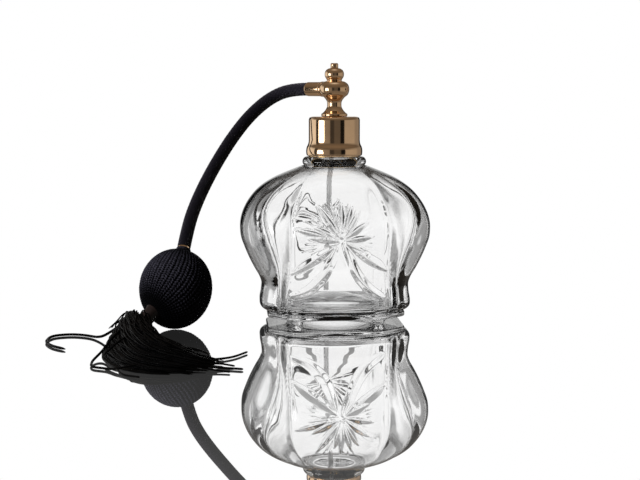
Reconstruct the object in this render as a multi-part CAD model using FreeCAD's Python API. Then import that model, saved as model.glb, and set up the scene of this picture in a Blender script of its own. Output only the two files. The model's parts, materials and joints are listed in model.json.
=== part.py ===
"""Cut-glass perfume bottle with a gilt bulb atomizer, a braided hose and a tassel. Millimetres, +Z up.

The origin is the point on the table under the bottle's axis. The front panel faces -Y. The atomizer head sprays
towards the front right, so its hose leaves at the back left, arches over and comes down to the bulb, which lies on
the table at the bottle's left with its tassel in front of it.
"""
import FreeCAD, Part
import math
import os

from FreeCAD import Vector

os.makedirs("parts", exist_ok=True)

UP = Vector(0, 0, 1)
ORIGIN = Vector(0, 0, 0)

# ---- Bottle ----
# Height and half width of the body's outline, from the base slab to the neck.
BODY_OUTLINE = [
    (5.0, 33.6), (6.8, 36.4), (9.5, 37.0), (13.5, 36.4), (17.5, 36.1), (21.5, 37.2), (26.0, 39.7), (31.0, 42.2),
    (36.0, 44.3), (41.0, 46.0), (46.0, 46.4), (51.0, 45.6), (56.0, 43.5), (60.0, 40.9), (63.8, 37.6), (67.0, 33.6),
    (69.8, 28.8), (72.2, 23.4), (74.0, 18.9), (75.4, 15.4),
]
# Height and distance from the middle plane of the front panel's edge, and of the side lobe's edge.
PANEL_EDGE = [(5, 25.6), (18, 25.5), (30, 24.2), (42, 24.0), (52, 23.5), (60, 21.5), (68, 17.0), (75.4, 9.0)]
SIDE_EDGE = [(5, 30.0), (12, 29.7), (20, 29.2), (26, 29.8), (32, 31.2), (42, 34.8), (52, 37.0), (58, 35.6),
             (64, 31.0), (70, 22.6), (75.4, 12.5)]
DEPTH_RATIO = 0.82
SQUARENESS = 2.9
SHOULDER_FROM = 58.0
GROOVE_DEPTH = 1.3
GROOVE_WIDTH = 2.6
LOBE_RISE = 1.3
WALL = 3.4
CAVITY_FLOOR = 7.6
CAVITY_DOME_TOP = 11.6
CAVITY_DOME_RADIUS = 58.0
SLAB_X, SLAB_Y, SLAB_BOTTOM, SLAB_TOP = 33.5, 27.5, 2.6, 5.4
SLAB_CHAMFER_X, SLAB_CHAMFER_Y = 13.5, 11.5
PUNT_RADIUS, PUNT_RISE = 21.5, 5.2
FOOT_X, FOOT_Y, FOOT_RADIUS, FOOT_FLAT_RADIUS = 19.5, 22.0, 3.6, 2.2
NECK_RING_BOTTOM, NECK_RING_TOP, NECK_RING_RADIUS = 74.6, 79.7, 15.6
NECK_RADIUS, NECK_BORE, NECK_TOP = 9.5, 6.6, 92.5

# ---- Screw collar, cap and seal ----
COLLAR_RADIUS, COLLAR_FLANGE_RADIUS, COLLAR_TOP = 11.24, 12.5, 92.0
CAP_RADIUS, CAP_BORE, CAP_TOP, CAP_BOTTOM = 12.5, 11.3, 99.0, 80.0
CAP_SKIRT_RADIUS, CAP_SKIRT_BORE, CAP_SKIRT_TOP, CAP_FLARE_TOP = 13.8, 12.8, 84.3, 86.3
CAP_CEILING, CAP_HOLE, CAP_EDGE = 97.4, 3.6, 1.5
SHANK_RADIUS, SHANK_BOTTOM = 3.5, 91.0
NUT_ACROSS_FLATS, NUT_BOTTOM, NUT_TOP = 12.0, 94.7, 97.3
GASKET_RADIUS, GASKET_BOTTOM, GASKET_TOP = 9.4, 92.6, 94.6

# ---- Atomizer head ----
SPRAY_HEIGHT = 112.2
HOSE_AZIMUTH = 138.0
HEAD_TOP = 116.3
HEAD_FOOT = 99.1
# Radius and height of the turned outline above the foot ring, and of the finial.
HEAD_OUTLINE = [(5.7, 100.7), (4.4, 102.1), (3.5, 104.2), (3.65, 106.3), (4.8, 108.0), (6.6, 109.6), (7.3, 112.2),
                (6.7, 114.5), (5.2, 115.8), (3.65, HEAD_TOP)]
FINIAL_OUTLINE = [(3.6, HEAD_TOP), (3.8, 117.0), (4.5, 118.2), (4.7, 119.5), (4.2, 121.2), (2.9, 122.2), (1.95, 122.4)]
HEAD_FOOT_RADIUS, HEAD_FOOT_TOP = 6.4, 100.5
PIN_TOP, PIN_EDGE = 124.8, 0.4
HEAD_BORE = 1.6
NOZZLE_RADIUS, NOZZLE_FACE, NOZZLE_BACK, ORIFICE = 1.3, 7.1, 5.4, 0.42
JET_RADIUS, JET_BORE, JET_BEND = 0.75, 0.4, 1.6
FERRULE_RADIUS, FERRULE_BORE, FERRULE_START, FERRULE_END = 3.5, 3.24, 8.1, 16.4
FERRULE_RING_RADIUS, FERRULE_RING_START = 3.75, 6.3
NIPPLE_RADIUS, NIPPLE_BORE, NIPPLE_END = 1.6, 0.9, 20.5
DIP_TUBE_RADIUS, DIP_TUBE_BORE = 1.25, 0.85
DIP_TUBE_ROUTE = [Vector(0, 0, 93.5), Vector(-3.0, -0.8, 55), Vector(-4.2, -1.2, 14)]
HOLDER_RADIUS, HOLDER_BOTTOM, HOLDER_TOP = 2.4, 86.0, 91.0

# ---- Hose ----
HOSE_RADIUS, HOSE_LINER_RADIUS, HOSE_BORE = 3.2, 2.5, 1.6
HOSE_ROUTE = [
    Vector(-11.1, 10.0, 112.2), Vector(-19.9, 17.9, 112.2), Vector(-30.0, 24.6, 108.0), Vector(-40.0, 26.1, 99.6),
    Vector(-48.7, 22.3, 89.1), Vector(-56.0, 15.2, 78.3), Vector(-62.2, 6.4, 67.9), Vector(-67.4, -2.8, 57.6),
    Vector(-71.2, -10.9, 47.6), Vector(-73.3, -16.4, 37.6),
]
FULLNESS = 0.45

# ---- Bulb ----
BULB_LENGTH_RADIUS, BULB_WIDTH_RADIUS = 19.6, 17.1
BULB_CENTRE_BELOW_HOSE = 21.3
KNIT_THICKNESS, RUBBER_THICKNESS, SKIN_GAP = 1.0, 1.9, 0.05
TAIL_DIRECTION = Vector(-0.5855, -0.611, -0.53)
CONNECTOR_RADIUS, CONNECTOR_CHAMBER, RING_RADIUS = 2.2, 1.5, 2.75
BALL_RADIUS, BALL_TRAVEL, SEAT_HOLE = 1.2, 0.8, 0.8
COLLAR_TUBE_RADIUS, TAIL_VALVE_RADIUS, TAIL_HOLE = 3.6, 2.4, 3.9
TAIL_START, TAIL_END = 13.6, 27.0

# ---- Tassel ----
# The knot is a ball that sits in the mouth of the tail collar, at this distance from the bulb's centre.
KNOT_RADIUS, KNOT_DISTANCE = 2.9, 28.9
# Middle of the skirt on the table, its half width and its height, from the knot to the tips.
SKIRT_SECTIONS = [
    (Vector(-95.0, -46.0, 0), 3.4, 7.0), (Vector(-97.0, -57.0, 0), 7.5, 12.0), (Vector(-95.5, -72.0, 0), 10.5, 13.0),
    (Vector(-91.0, -89.0, 0), 13.5, 11.5), (Vector(-79.5, -107.0, 0), 16.0, 8.5), (Vector(-58.0, -117.0, 0), 12.0, 3.0),
]
STRAND_RADIUS = 0.65
STRAND_ROUTES = [
    [Vector(-98, -60, 8.0), Vector(-104.5, -57, 5.0), Vector(-110.5, -52, 1.8), Vector(-118, -44.5, 0.8),
     Vector(-125, -42.0, 0.8), Vector(-131.5, -45.0, 0.8), Vector(-133.6, -55, 0.8), Vector(-130, -66.5, 0.8),
     Vector(-123.5, -74.2, 0.8)],
    [Vector(-99, -78, 6.0), Vector(-105.5, -88.6, 3.2), Vector(-109.4, -104, 0.9), Vector(-108.2, -111, 0.8),
     Vector(-102.5, -115.5, 0.8), Vector(-94.5, -118, 1.6)],
    [Vector(-68, -107, 2.0), Vector(-60, -101.5, 1.2), Vector(-51.7, -96.0, 0.8), Vector(-44.8, -86.0, 0.8)],
]


def save(name, shape):
    """Writes one node's file."""
    shape.exportStep(f"parts/{name}.step")
    print(f"{name}: {shape.Volume:.1f} cubic mm, {len(shape.Solids)} solid, valid {shape.isValid()}")


def cylinder(radius, start, end, axis=UP, origin=ORIGIN):
    """A cylinder along an axis, from one distance from the origin to another."""
    return Part.makeCylinder(radius, end - start, origin + axis * start, axis)


def tube(outer, inner, start, end, axis=UP, origin=ORIGIN):
    return cylinder(outer, start, end, axis, origin).cut(cylinder(inner, start - 1, end + 1, axis, origin))


def turned(points, axis=UP, origin=ORIGIN):
    """A solid of revolution about Z from straight lines through (radius, height) points, placed along an axis."""
    wire = Part.makePolygon([Vector(r, 0, z) for r, z in points + points[:1]])
    solid = Part.Face(wire).revolve(ORIGIN, UP, 360)
    solid.Placement = FreeCAD.Placement(origin, FreeCAD.Rotation(UP, axis))
    return solid


def turned_smooth(outline, axis=UP, origin=ORIGIN):
    """A solid of revolution whose side is one smooth curve through (radius, distance along the axis) points."""
    side = Part.BSplineCurve()
    side.interpolate([Vector(r, 0, z) for r, z in outline])
    low, high = outline[0][1], outline[-1][1]
    ends = [Vector(outline[-1][0], 0, high), Vector(0, 0, high), Vector(0, 0, low), Vector(outline[0][0], 0, low)]
    edges = [side.toShape()] + [Part.makeLine(a, b) for a, b in zip(ends, ends[1:])]
    solid = Part.Face(Part.Wire(edges)).revolve(ORIGIN, UP, 360)
    solid.Placement = FreeCAD.Placement(origin, FreeCAD.Rotation(UP, axis))
    return solid


def between(rows, height):
    """The value at a height, on straight lines through (height, value) rows."""
    for (low, a), (high, b) in zip(rows, rows[1:]):
        if height <= high:
            return a + (b - a) * (height - low) / (high - low)
    return rows[-1][1]


def shoulder(height):
    """0 on the body and 1 at the neck."""
    share = min(max((height - SHOULDER_FROM) / (BODY_OUTLINE[-1][0] - SHOULDER_FROM), 0), 1)
    return share * share * (3 - 2 * share)


def plan(height, half_width, grooved):
    """A closed curve: the body's plan at a height, with its grooves and corner lobes if grooved."""
    squareness = SQUARENESS + (2.0 - SQUARENESS) * shoulder(height)
    half_depth = half_width * (DEPTH_RATIO + (1 - DEPTH_RATIO) * shoulder(height))
    edges = []
    for rows in (SIDE_EDGE, PANEL_EDGE):
        x = min(between(rows, height), 0.97 * half_width)
        y = half_depth * (1 - (x / half_width) ** squareness) ** (1 / squareness)
        edges.append(math.atan2(y, x))
    strength = 1 - shoulder(height)
    points = []
    for i in range(96 if grooved else 32):
        turn = 2 * math.pi * i / (96 if grooved else 32)
        c, s = abs(math.cos(turn)), abs(math.sin(turn))
        radius = ((c / half_width) ** squareness + (s / half_depth) ** squareness) ** (-1 / squareness)
        if grooved:
            angle = math.atan2(s, c)
            for edge in edges:
                radius -= strength * GROOVE_DEPTH * math.exp(-(((angle - edge) * radius / GROOVE_WIDTH) ** 2))
            middle, half = sum(edges) / 2, max(abs(edges[1] - edges[0]) / 2, 0.02)
            radius += strength * LOBE_RISE * max(1 - ((angle - middle) / half) ** 2, 0)
        points.append(Vector(radius * math.cos(turn), radius * math.sin(turn), height))
    curve = Part.BSplineCurve()
    curve.interpolate(points, PeriodicFlag=True)
    return Part.Wire([curve.toShape()])


def bottle_glass():
    """The blown body with its slab, feet and neck, hollow, with a dome in its floor and a punt under it."""
    body = Part.makeLoft([plan(z, w, True) for z, w in BODY_OUTLINE], True, False)
    x, y = SLAB_X, SLAB_Y
    cut_x, cut_y = x - SLAB_CHAMFER_X, y - SLAB_CHAMFER_Y
    corners = [(cut_x, -y), (x, -cut_y), (x, cut_y), (cut_x, y), (-cut_x, y), (-x, cut_y), (-x, -cut_y), (-cut_x, -y)]
    outline = [Vector(a, b, SLAB_BOTTOM) for a, b in corners]
    slab = Part.Face(Part.makePolygon(outline + outline[:1])).extrude(Vector(0, 0, SLAB_TOP - SLAB_BOTTOM))
    slab = slab.makeFillet(0.7, [e for e in slab.Edges if e.BoundBox.ZMax < SLAB_BOTTOM + 0.1])
    middle = (NECK_RING_BOTTOM + NECK_RING_TOP) / 2
    bulge = (NECK_RING_TOP - NECK_RING_BOTTOM) / 2
    ring = cylinder(NECK_RING_RADIUS - bulge, NECK_RING_BOTTOM, NECK_RING_TOP)
    ring = ring.fuse(Part.makeTorus(NECK_RING_RADIUS - bulge, bulge, Vector(0, 0, middle), UP))
    glass = body.fuse([slab, ring, cylinder(NECK_RADIUS, NECK_RING_BOTTOM, NECK_TOP)])
    for side_x in (-1, 1):
        for side_y in (-1, 1):
            place = Vector(side_x * FOOT_X, side_y * FOOT_Y, 0)
            foot = Part.makeCone(FOOT_FLAT_RADIUS, FOOT_RADIUS, SLAB_BOTTOM + 0.4, place, UP)
            glass = glass.fuse(foot)
    cavity_rows = [(z, w - WALL) for z, w in BODY_OUTLINE if z > CAVITY_FLOOR and w - WALL > NECK_BORE + 6]
    first = (CAVITY_FLOOR, between(BODY_OUTLINE, CAVITY_FLOOR) - WALL - 1.6)
    cavity = Part.makeLoft([plan(z, w, False) for z, w in [first] + cavity_rows], True, False)
    dome_centre = Vector(0, 0, CAVITY_DOME_TOP - CAVITY_DOME_RADIUS)
    cavity = cavity.cut(Part.makeSphere(CAVITY_DOME_RADIUS, dome_centre))
    throat_low, throat_high = cavity_rows[-1][0] - 0.5, NECK_RING_TOP - 2
    throat = Part.makeCone(cavity_rows[-1][1] - 1.5, NECK_BORE, throat_high - throat_low, Vector(0, 0, throat_low), UP)
    bore = cylinder(NECK_BORE, throat_high - 1, NECK_TOP + 1)
    punt_radius = (PUNT_RADIUS ** 2 + PUNT_RISE ** 2) / (2 * PUNT_RISE)
    punt = Part.makeSphere(punt_radius, Vector(0, 0, SLAB_BOTTOM + PUNT_RISE - punt_radius))
    return glass.cut(cavity).cut(throat).cut(bore).cut(punt)


def neck_collar():
    """The brass screw collar cemented on the glass neck. Its thread is a plain barrel."""
    return turned([
        (NECK_RADIUS + 0.02, NECK_RING_TOP + 0.05), (COLLAR_FLANGE_RADIUS, NECK_RING_TOP + 0.05),
        (COLLAR_FLANGE_RADIUS, NECK_RING_TOP + 1.4), (COLLAR_RADIUS, NECK_RING_TOP + 1.8),
        (COLLAR_RADIUS, COLLAR_TOP - 0.5), (COLLAR_RADIUS - 0.5, COLLAR_TOP), (NECK_RADIUS + 0.02, COLLAR_TOP),
    ])


def screw_cap():
    """The gilt cap with its flared skirt, which turns on the head's shank and screws onto the collar."""
    rim = CAP_SKIRT_RADIUS - 0.5
    cap = turned([
        (CAP_SKIRT_BORE, CAP_BOTTOM), (rim, CAP_BOTTOM), (CAP_SKIRT_RADIUS, CAP_BOTTOM + 0.5),
        (CAP_SKIRT_RADIUS, CAP_SKIRT_TOP), (CAP_SKIRT_RADIUS - 0.3, CAP_SKIRT_TOP + 0.7),
        (CAP_RADIUS + 0.2, CAP_FLARE_TOP - 0.4), (CAP_RADIUS, CAP_FLARE_TOP), (CAP_RADIUS, CAP_TOP),
        (CAP_HOLE, CAP_TOP), (CAP_HOLE, CAP_CEILING), (CAP_BORE, CAP_CEILING), (CAP_BORE, CAP_BOTTOM + 2.6),
        (CAP_SKIRT_BORE, CAP_BOTTOM + 2.2),
    ])
    top_edge = [e for e in cap.Edges if e.BoundBox.ZMin > CAP_TOP - 0.01 and e.BoundBox.XMax > CAP_RADIUS - 0.1]
    return cap.makeFillet(CAP_EDGE, top_edge)


def head_body(out):
    """The turned head: foot ring, stem and ball, with a threaded shank below, drilled upwards and across."""
    head = turned_smooth(HEAD_OUTLINE)
    head = head.fuse([
        cylinder(HEAD_FOOT_RADIUS, HEAD_FOOT, HEAD_FOOT_TOP),
        cylinder(HEAD_OUTLINE[0][0], HEAD_FOOT_TOP - 0.2, HEAD_OUTLINE[0][1]),
        cylinder(SHANK_RADIUS, SHANK_BOTTOM, HEAD_FOOT),
    ])
    centre = Vector(0, 0, SPRAY_HEIGHT)
    head = head.cut(cylinder(HEAD_BORE, SHANK_BOTTOM - 1, HEAD_TOP + 1))
    head = head.cut(cylinder(HEAD_BORE, -NOZZLE_BACK, 10, out, centre))
    head = head.cut(cylinder(NOZZLE_RADIUS, -10, -NOZZLE_BACK, out, centre))
    return head.cut(cylinder(FERRULE_RING_RADIUS, FERRULE_RING_START, 12, out, centre))


def finial_plug():
    """The ball and pin that close the head's upright bore."""
    pin = cylinder(FINIAL_OUTLINE[-1][0], FINIAL_OUTLINE[-1][1] - 0.1, PIN_TOP)
    pin = pin.makeFillet(PIN_EDGE, [e for e in pin.Edges if e.BoundBox.ZMin > PIN_TOP - 0.01])
    plug = cylinder(HEAD_BORE, HEAD_TOP - 1.8, HEAD_TOP + 1)
    return turned_smooth(FINIAL_OUTLINE).fuse([pin, plug])


def path_wire(route, report=None):
    """Straight runs joined by tangent arcs, each as large as its two runs allow."""
    edges, start, radii = [], route[0], []
    for before, corner, after in zip(route, route[1:], route[2:]):
        back, on = (before - corner), (after - corner)
        reach = FULLNESS * min(back.Length, on.Length)
        back.normalize()
        on.normalize()
        half_turn = (math.pi - back.getAngle(on)) / 2
        radius = reach / math.tan(half_turn)
        radii.append(radius)
        enter, leave = corner + back * reach, corner + on * reach
        inward = (back + on).normalize()
        middle = corner + inward * (math.hypot(radius, reach) - radius)
        edges.append(Part.LineSegment(start, enter).toShape())
        edges.append(Part.Arc(enter, middle, leave).toShape())
        start = leave
    edges.append(Part.LineSegment(start, route[-1]).toShape())
    wire = Part.Wire(edges)
    if report:
        print(f"{report}: {wire.Length:.1f} mm, arcs of " + ", ".join(f"{r:.1f}" for r in radii) + " mm")
    return wire


def swept(route, radius, report=None):
    """A round rod along a route."""
    wire = path_wire(route, report)
    direction = (route[1] - route[0]).normalize()
    section = Part.Wire([Part.Circle(route[0], direction, radius).toShape()])
    solid = wire.makePipeShell([section], True, False)
    if report:
        print(f"{report}: volume {solid.Volume:.1f}, section times length {math.pi * radius ** 2 * wire.Length:.1f}")
    return solid


def jet_tube(out):
    """The fine tube that carries the scent up the head and turns towards the nozzle."""
    route = [Vector(0, 0, SHANK_BOTTOM + 3), Vector(0, 0, SPRAY_HEIGHT), out * -(NOZZLE_BACK - 0.8) + UP * SPRAY_HEIGHT]
    return swept(route, JET_RADIUS).cut(swept(route, JET_BORE))


def dip_tube():
    wire = Part.Wire([Part.Arc(*DIP_TUBE_ROUTE).toShape()])
    direction = wire.Edges[0].tangentAt(wire.Edges[0].FirstParameter)
    rods = []
    for radius in (DIP_TUBE_RADIUS, DIP_TUBE_BORE):
        section = Part.Wire([Part.Circle(DIP_TUBE_ROUTE[0], direction, radius).toShape()])
        rods.append(wire.makePipeShell([section], True, False))
    return rods[0].cut(rods[1])


def egg(axis, centre, length_radius, width_radius):
    """A solid ball, longer along its axis than across it."""
    ball = Part.makeSphere(width_radius)
    stretch = FreeCAD.Matrix()
    stretch.scale(1, 1, length_radius / width_radius)
    ball = ball.transformGeometry(stretch)
    ball.Placement = FreeCAD.Placement(centre, FreeCAD.Rotation(UP, axis))
    return ball


def shell_of_bulb(axis, centre, inset, thickness, top_hole, tail):
    outer = egg(axis, centre, BULB_LENGTH_RADIUS - inset, BULB_WIDTH_RADIUS - inset)
    inner = egg(axis, centre, BULB_LENGTH_RADIUS - inset - thickness, BULB_WIDTH_RADIUS - inset - thickness)
    shell = outer.cut(inner)
    return shell.cut(cylinder(top_hole, 10, 30, axis, centre)).cut(cylinder(TAIL_HOLE, 10, 30, tail, centre))


def valve_ball(axis, origin, seat):
    """A ball resting on the edge of a hole whose end is at the seat, below it along the axis."""
    rise = math.sqrt(BALL_RADIUS ** 2 - SEAT_HOLE ** 2)
    return Part.makeSphere(BALL_RADIUS, origin + axis * (seat + rise + 0.02))


def skirt():
    """The tassel's skirt: a flattened bundle that lies on the table and bends round in front of the bulb."""
    wires = []
    places = [s[0] for s in SKIRT_SECTIONS]
    for i, (place, half_width, height) in enumerate(SKIRT_SECTIONS):
        along = (places[min(i + 1, len(places) - 1)] - places[max(i - 1, 0)]).normalize()
        across = along.cross(UP)
        centre = place + UP * (height / 2)
        points = []
        for k in range(16):
            turn = 2 * math.pi * k / 16
            points.append(centre + across * (half_width * math.cos(turn)) + UP * (height / 2 * math.sin(turn)))
        curve = Part.BSplineCurve()
        curve.interpolate(points, PeriodicFlag=True)
        wires.append(Part.Wire([curve.toShape()]))
    return Part.makeLoft(wires, True, False)


def make_bottle():
    save("bottle_glass", bottle_glass())
    save("neck_collar", neck_collar())


def make_cap():
    save("screw_cap", screw_cap())


def make_head(out):
    centre = Vector(0, 0, SPRAY_HEIGHT)
    nozzle = cylinder(NOZZLE_RADIUS, -NOZZLE_FACE, -NOZZLE_BACK, out, centre)
    nozzle = nozzle.cut(cylinder(ORIFICE, -10, 0, out, centre))
    ferrule = tube(FERRULE_RADIUS, FERRULE_BORE, FERRULE_START, FERRULE_END, out, centre)
    ferrule = ferrule.fuse(tube(FERRULE_RADIUS, NIPPLE_RADIUS, FERRULE_START, FERRULE_START + 1.5, out, centre))
    nut_points = [Vector(math.cos(math.radians(60 * i)), math.sin(math.radians(60 * i)), 0) for i in range(7)]
    nut_radius = NUT_ACROSS_FLATS / math.sqrt(3)
    nut = Part.Face(Part.makePolygon([p * nut_radius + UP * NUT_BOTTOM for p in nut_points]))
    nut = nut.extrude(UP * (NUT_TOP - NUT_BOTTOM)).cut(cylinder(SHANK_RADIUS, NUT_BOTTOM - 1, NUT_TOP + 1))
    save("head_body", head_body(out))
    save("finial_plug", finial_plug())
    save("nozzle_insert", nozzle)
    save("jet_tube", jet_tube(out))
    save("ferrule_ring", tube(FERRULE_RING_RADIUS, NIPPLE_RADIUS, FERRULE_RING_START, FERRULE_START, out, centre))
    save("hose_ferrule", ferrule)
    save("air_nipple", tube(NIPPLE_RADIUS, NIPPLE_BORE, FERRULE_RING_START, NIPPLE_END, out, centre))
    save("shank_nut", nut)
    save("neck_gasket", tube(GASKET_RADIUS, SHANK_RADIUS, GASKET_BOTTOM, GASKET_TOP))
    save("dip_tube_holder", tube(HOLDER_RADIUS, DIP_TUBE_RADIUS + 0.15, HOLDER_BOTTOM, HOLDER_TOP))
    save("dip_tube", dip_tube())


def make_hose():
    braid = swept(HOSE_ROUTE, HOSE_RADIUS, "hose")
    lining = swept(HOSE_ROUTE, HOSE_LINER_RADIUS)
    save("hose_braid", braid.cut(lining))
    save("hose_lining", lining.cut(swept(HOSE_ROUTE, HOSE_BORE)))


def make_bulb(axis, centre, tail):
    ring_low, ring_high = BULB_LENGTH_RADIUS - 0.4, BULB_CENTRE_BELOW_HOSE
    save("knitted_cover", shell_of_bulb(axis, centre, 0, KNIT_THICKNESS, RING_RADIUS + 0.05, tail))
    rubber_inset = KNIT_THICKNESS + SKIN_GAP
    save("rubber_bulb", shell_of_bulb(axis, centre, rubber_inset, RUBBER_THICKNESS, CONNECTOR_RADIUS, tail))
    flange_top = BULB_LENGTH_RADIUS - rubber_inset - RUBBER_THICKNESS - 0.3
    body = turned([
        (SEAT_HOLE, flange_top - 3), (4.2, flange_top - 3), (4.2, flange_top - 1.8), (CONNECTOR_RADIUS, flange_top - 1.8),
        (CONNECTOR_RADIUS, ring_high), (NIPPLE_RADIUS, ring_high), (NIPPLE_RADIUS, ring_high + 5.5),
        (NIPPLE_RADIUS - 0.3, ring_high + 6), (NIPPLE_BORE, ring_high + 6), (NIPPLE_BORE, ring_high - 1.2),
        (CONNECTOR_CHAMBER, ring_high - 1.2), (CONNECTOR_CHAMBER, flange_top - 1.5), (SEAT_HOLE, flange_top - 1.5),
    ], axis, centre)
    save("bulb_connector", body)
    save("bulb_ring", tube(RING_RADIUS, CONNECTOR_RADIUS, ring_low, ring_high, axis, centre))
    save("outlet_ball", valve_ball(axis, centre, flange_top - 1.5))
    stop = flange_top - 1.5 + 2 * BALL_RADIUS + BALL_TRAVEL + 0.1
    save("outlet_stop", tube(CONNECTOR_CHAMBER, 0.7, stop, stop + 0.5, axis, centre))


def make_tail(centre, tail):
    """The intake valve in its rubber collar, at the bulb's far end. Its ball closes towards the outside."""
    collar = turned([
        (TAIL_VALVE_RADIUS, TAIL_START), (COLLAR_TUBE_RADIUS, TAIL_START), (COLLAR_TUBE_RADIUS, TAIL_END - 0.6),
        (COLLAR_TUBE_RADIUS - 0.6, TAIL_END), (TAIL_VALVE_RADIUS, TAIL_END),
    ], tail, centre)
    seat = 22.0
    body = turned([
        (CONNECTOR_CHAMBER, TAIL_START + 0.4), (TAIL_VALVE_RADIUS, TAIL_START + 0.4), (TAIL_VALVE_RADIUS, seat + 2),
        (SEAT_HOLE, seat + 2), (SEAT_HOLE, seat), (CONNECTOR_CHAMBER, seat),
    ], tail, centre)
    stop = seat - 2 * BALL_RADIUS - BALL_TRAVEL - 0.1
    save("tail_collar", collar)
    save("intake_valve_body", body)
    save("intake_ball", valve_ball(tail * -1, centre, -seat))
    save("intake_stop", tube(CONNECTOR_CHAMBER, 0.7, stop - 0.5, stop, tail, centre))


def make_tassel(centre, tail):
    save("tassel_knot", Part.makeSphere(KNOT_RADIUS, centre + tail * KNOT_DISTANCE))
    save("tassel_skirt", skirt())
    for number, route in enumerate(STRAND_ROUTES, start=1):
        save(f"tassel_strand_{number}", swept(route, STRAND_RADIUS, f"strand {number}"))


def main():
    turn = math.radians(HOSE_AZIMUTH)
    out = Vector(math.cos(turn), math.sin(turn), 0)
    axis = (HOSE_ROUTE[-2] - HOSE_ROUTE[-1]).normalize()
    centre = HOSE_ROUTE[-1] - axis * BULB_CENTRE_BELOW_HOSE
    tail = Vector(TAIL_DIRECTION).normalize()
    print(f"bulb centre {centre}, axis {axis}")
    make_bottle()
    make_cap()
    make_head(out)
    make_hose()
    make_bulb(axis, centre, tail)
    make_tail(centre, tail)
    make_tassel(centre, tail)


main()
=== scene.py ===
"""The looks of the cut-glass perfume bottle, its gilt head, braided hose, knitted bulb and tassel.

Scene units are metres, +Z up. Measures named in millimetres below are scaled where the meshes are made.
"""
import json
import math

import bmesh
import bpy
import numpy as np
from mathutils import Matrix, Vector


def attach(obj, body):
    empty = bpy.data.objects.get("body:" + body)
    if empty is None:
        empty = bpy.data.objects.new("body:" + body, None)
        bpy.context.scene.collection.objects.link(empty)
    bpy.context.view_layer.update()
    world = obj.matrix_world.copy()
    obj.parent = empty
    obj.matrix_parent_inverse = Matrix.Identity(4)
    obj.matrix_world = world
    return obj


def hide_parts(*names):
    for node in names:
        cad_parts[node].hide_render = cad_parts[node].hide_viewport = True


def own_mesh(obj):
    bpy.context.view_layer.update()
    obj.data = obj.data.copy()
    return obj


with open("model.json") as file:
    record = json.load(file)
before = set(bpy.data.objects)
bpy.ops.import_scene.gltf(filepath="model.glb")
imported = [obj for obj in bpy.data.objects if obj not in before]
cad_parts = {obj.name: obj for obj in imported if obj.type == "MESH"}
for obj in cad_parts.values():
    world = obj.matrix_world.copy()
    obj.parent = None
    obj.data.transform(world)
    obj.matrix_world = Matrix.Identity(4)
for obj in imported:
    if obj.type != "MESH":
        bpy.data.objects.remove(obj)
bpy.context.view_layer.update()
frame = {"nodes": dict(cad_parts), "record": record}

MM = 0.001
UP = Vector((0, 0, 1))
random = np.random.default_rng(7)

# ---- Camera ----
CAMERA_PLACE = (-0.0555, -0.6346, 0.115)
CAMERA_TURN = (math.radians(83.13), 0, math.radians(-4.37))
CAMERA_LENS = 73.1

# ---- Bottle, in millimetres: heights with half widths, as the CAD body has them ----
BODY_OUTLINE = [
    (5.0, 33.6), (6.8, 36.4), (9.5, 37.0), (13.5, 36.4), (17.5, 36.1), (21.5, 37.2), (26.0, 39.7),
    (31.0, 42.2), (36.0, 44.3), (41.0, 46.0), (46.0, 46.4), (51.0, 45.6), (56.0, 43.5), (60.0, 40.9),
    (63.8, 37.6), (67.0, 33.6), (69.8, 28.8), (72.2, 23.4), (74.0, 18.9), (75.4, 15.4),
]
PANEL_EDGE = [(5, 25.6), (18, 25.5), (30, 24.2), (42, 24.0), (52, 23.5), (60, 21.5), (68, 17.0), (75.4, 9.0)]
SIDE_EDGE = [(5, 30.0), (12, 29.7), (20, 29.2), (26, 29.8), (32, 31.2), (42, 34.8), (52, 37.0), (58, 35.6),
             (64, 31.0), (70, 22.6), (75.4, 12.5)]
DEPTH_RATIO, SQUARENESS, SHOULDER_FROM = 0.82, 2.9, 58.0
GROOVE_DEPTH, GROOVE_WIDTH, LOBE_RISE = 1.5, 2.1, 1.3
WALL, CAVITY_FLOOR, DOME_TOP, DOME_RADIUS = 3.4, 7.6, 11.6, 58.0
SLAB_X, SLAB_Y, SLAB_BOTTOM, SLAB_TOP = 33.5, 27.5, 2.6, 5.0
SLAB_CORNER_X, SLAB_CORNER_Y = 20.0, 16.0
PUNT_RADIUS, PUNT_RISE = 21.5, 5.2
FOOT_X, FOOT_Y, FOOT_RADIUS, FOOT_FLAT = 19.5, 22.0, 3.6, 2.2
RING_MIDDLE, RING_CORE, RING_BULGE = 77.15, 13.05, 2.55
NECK_RADIUS, NECK_BORE, NECK_TOP = 9.5, 6.6, 92.5
STAR_X, STAR_Z = 0.5, 42.0
# Across and up on a panel: the tips of the star's rays and of its two long leaves, and the places that its
# two sweeping cuts go through. Fine strokes stand in a fan around the rays.
STAR_TIPS = [(-22.7, 48.2), (-15.9, 43.8), (-14.1, 49.6), (-11.8, 59.8), (-8.3, 55.3), (-2.9, 57.5),
             (0.3, 61.0), (5.6, 59.4), (9.0, 56.5), (13.4, 51.6), (15.9, 44.4), (14.5, 35.5)]
FAN_STROKES = 34
LEAF_TIPS = [(-24.0, 25.0), (24.0, 26.3)]
SWEEPS = [
    [(1.2, 40.8), (4.0, 34.4), (6.9, 27.9), (10.2, 22.8), (14.4, 18.3), (20.6, 13.8)],
    [(-2.3, 38.1), (-4.3, 32.0), (-7.2, 25.6), (-10.6, 21.4), (-14.9, 17.7), (-22.0, 14.8)],
]

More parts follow.
